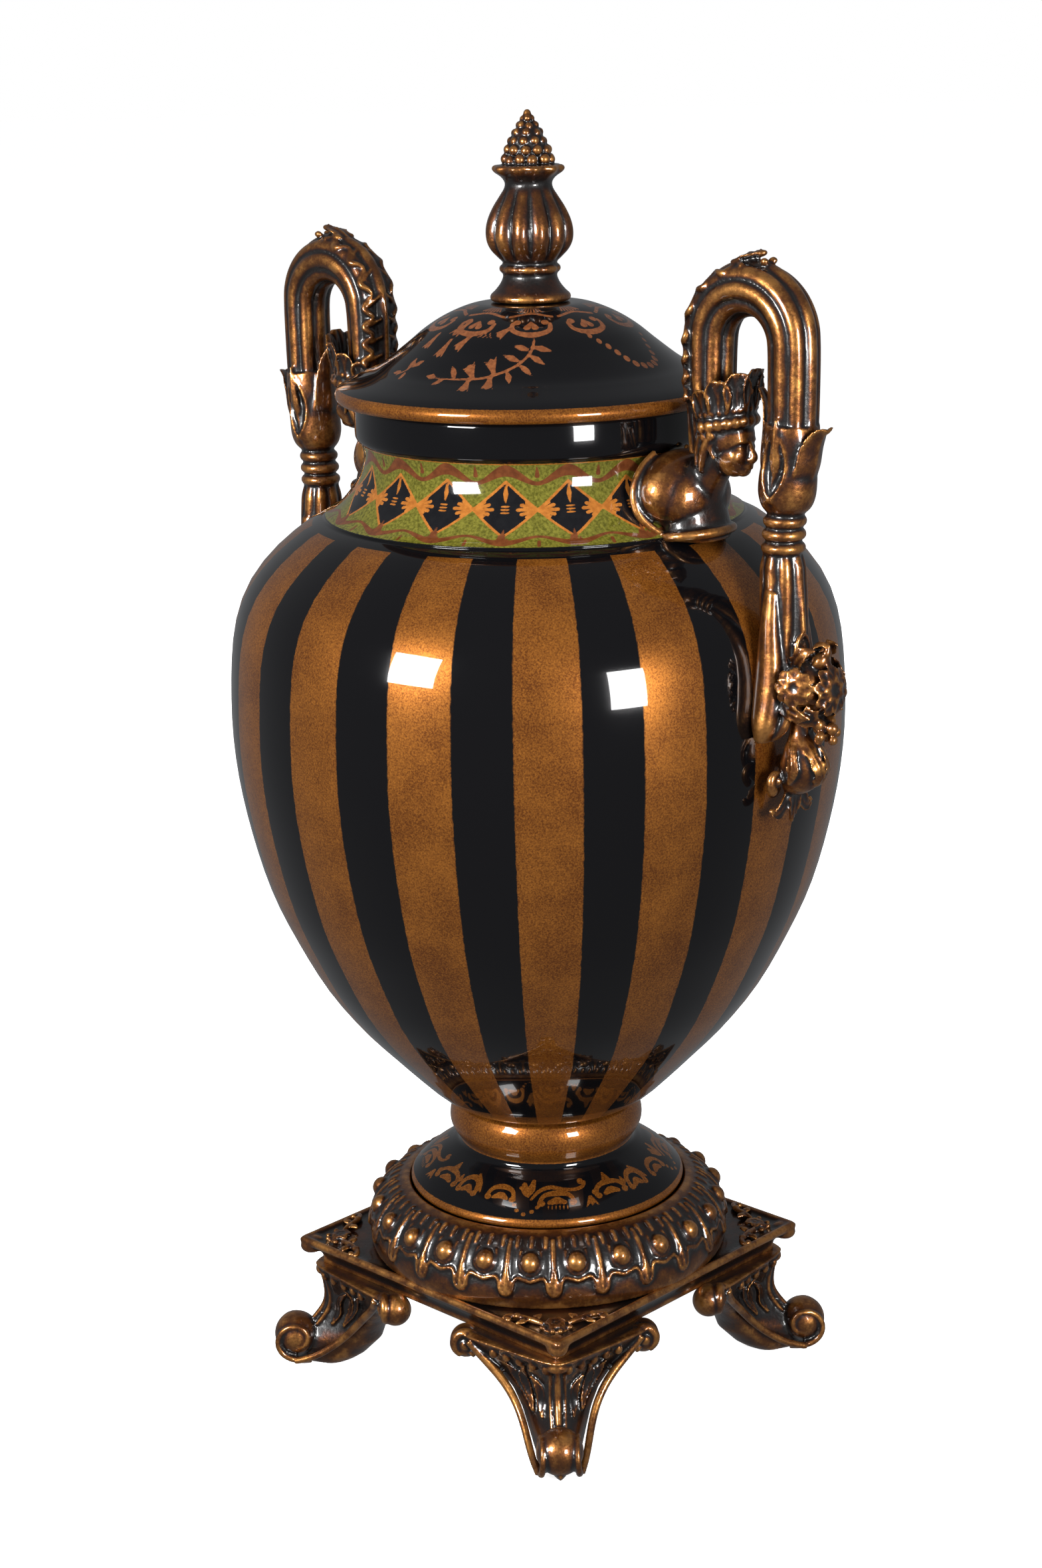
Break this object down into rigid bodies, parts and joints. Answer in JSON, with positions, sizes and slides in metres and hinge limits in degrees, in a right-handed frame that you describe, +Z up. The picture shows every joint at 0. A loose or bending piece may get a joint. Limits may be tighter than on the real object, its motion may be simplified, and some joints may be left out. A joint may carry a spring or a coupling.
{
  "type": "mantel urn",
  "caption": "Lidded mantel urn: striped porcelain body on a footed square stand, with scrolled bust handles and a berry-topped finial.",
  "frame": {"origin": "on the ground under the urn's axis", "axes": "+Z up along the urn's axis; the two handles lie along +X and -X; the stand's sides run along X and Y"},
  "size_m": [0.3088, 0.25, 0.529],
  "materials": {
    "painted_porcelain": "high gloss glaze over painted gold stripes on black",
    "cast_bronze_finish": "cast resin with an antique bronze and gold finish under clear varnish"
  },
  "bodies": {
    "root": {"base_stand": "cast_bronze_finish", "foot_socle": "painted_porcelain", "urn_body": "painted_porcelain", "lid": "painted_porcelain", "finial": "cast_bronze_finish", "handle_right": "cast_bronze_finish", "handle_left": "cast_bronze_finish"}
  },
  "joints": []
}
